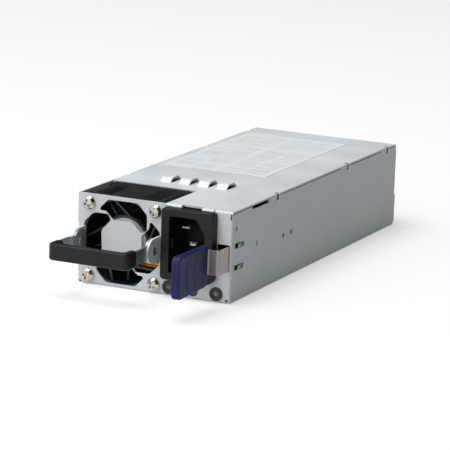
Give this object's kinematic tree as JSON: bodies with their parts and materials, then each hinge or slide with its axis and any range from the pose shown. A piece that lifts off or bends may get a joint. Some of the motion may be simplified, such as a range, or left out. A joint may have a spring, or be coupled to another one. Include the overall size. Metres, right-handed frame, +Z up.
{
  "type": "hot swap server power supply",
  "caption": "Hot swap server power supply module with a 40 mm fan, folding pull handle, mains inlet, spring latch and card edge output.",
  "frame": {"origin": "centre of the flat underside of the case", "axes": "+X to the right seen from the front, +Y from the front with the handle to the card edge at the rear, +Z up"},
  "size_m": [0.0745, 0.2336, 0.0421],
  "materials": {
    "zinc_sheet": "satin zinc plated sheet",
    "label_film": "smooth printed film, bare",
    "black_plastic": "fine moulded texture",
    "grip_plastic": "fine moulded texture",
    "inlet_plastic": "fine moulded texture",
    "paddle_plastic": "fine moulded texture, blue",
    "chrome_screw": "bright plated",
    "nickel": "bright nickel",
    "steel_strip": "satin steel",
    "spring_steel": "brushed stainless",
    "silver_film": "satin film",
    "steel": "plain steel",
    "sintered_bronze": "sintered",
    "magnet": "ferrite",
    "copper": "enamelled copper wire",
    "black_rivet": "satin black",
    "lens": "smoked, clear",
    "circuit_board": "green solder mask",
    "gold": "gold plated",
    "insulating_film": "translucent film",
    "capacitor_sleeve": "shrink sleeve",
    "film_case": "potted case",
    "aluminium": "extruded",
    "package": "moulded package",
    "ferrite": "ferrite",
    "tape": "wound tape",
    "wire_red": "insulated wire"
  },
  "bodies": {
    "housing": {"chassis_tray": "zinc_sheet", "top_cover": "zinc_sheet", "rating_label": "label_film", "rear_panel": "zinc_sheet", "fan_frame": "black_plastic", "fan_badge": "silver_film", "fan_circuit": "circuit_board", "fan_bearing": "sintered_bronze", "fan_stator": "copper", "fan_screws": "chrome_screw", "fan_wires": "wire_red", "handle_rivets": "steel_strip", "inlet_housing": "inlet_plastic", "inlet_pins": "nickel", "front_rivets": "black_rivet", "rivet_mandrels": "nickel", "led_lens": "lens", "latch_rivets": "black_rivet", "main_board": "circuit_board", "edge_contacts": "gold", "insulator_sheet": "insulating_film", "board_standoffs": "nickel", "board_screws": "chrome_screw", "emi_choke": "copper", "film_capacitor": "film_case", "line_wires": "wire_red", "bridge_rectifier": "package", "pfc_choke": "copper", "bulk_capacitors": "capacitor_sleeve", "primary_heatsink": "aluminium", "secondary_heatsink": "aluminium", "power_transistors": "package", "transformer_core": "ferrite", "transformer_winding": "tape", "output_choke": "copper", "output_capacitors": "capacitor_sleeve", "control_board": "circuit_board"},
    "handle": {"handle_bail": "steel_strip", "handle_grip": "grip_plastic"},
    "latch": {"latch_spring": "spring_steel", "latch_paddle": "paddle_plastic"},
    "fan_rotor": {"fan_impeller": "black_plastic", "fan_shaft": "steel", "fan_magnet": "magnet"}
  },
  "joints": [
    {"name": "handle_fold", "type": "hinge", "parent": "housing", "child": "handle", "pos_m": [-0.01545, -0.0985, 0.02], "axis": [-1, 0, 0], "range_deg": [0, 90]},
    {"name": "latch_press", "type": "hinge", "parent": "housing", "child": "latch", "pos_m": [0.0356, -0.0305, 0.0198], "axis": [0, 0, -1], "range_deg": [0, 2.5], "stiffness_Nm_per_rad": 12},
    {"name": "fan_spin", "type": "hinge", "parent": "housing", "child": "fan_rotor", "pos_m": [-0.01545, -0.0775, 0.02], "axis": [0, 1, 0], "continuous": true}
  ]
}
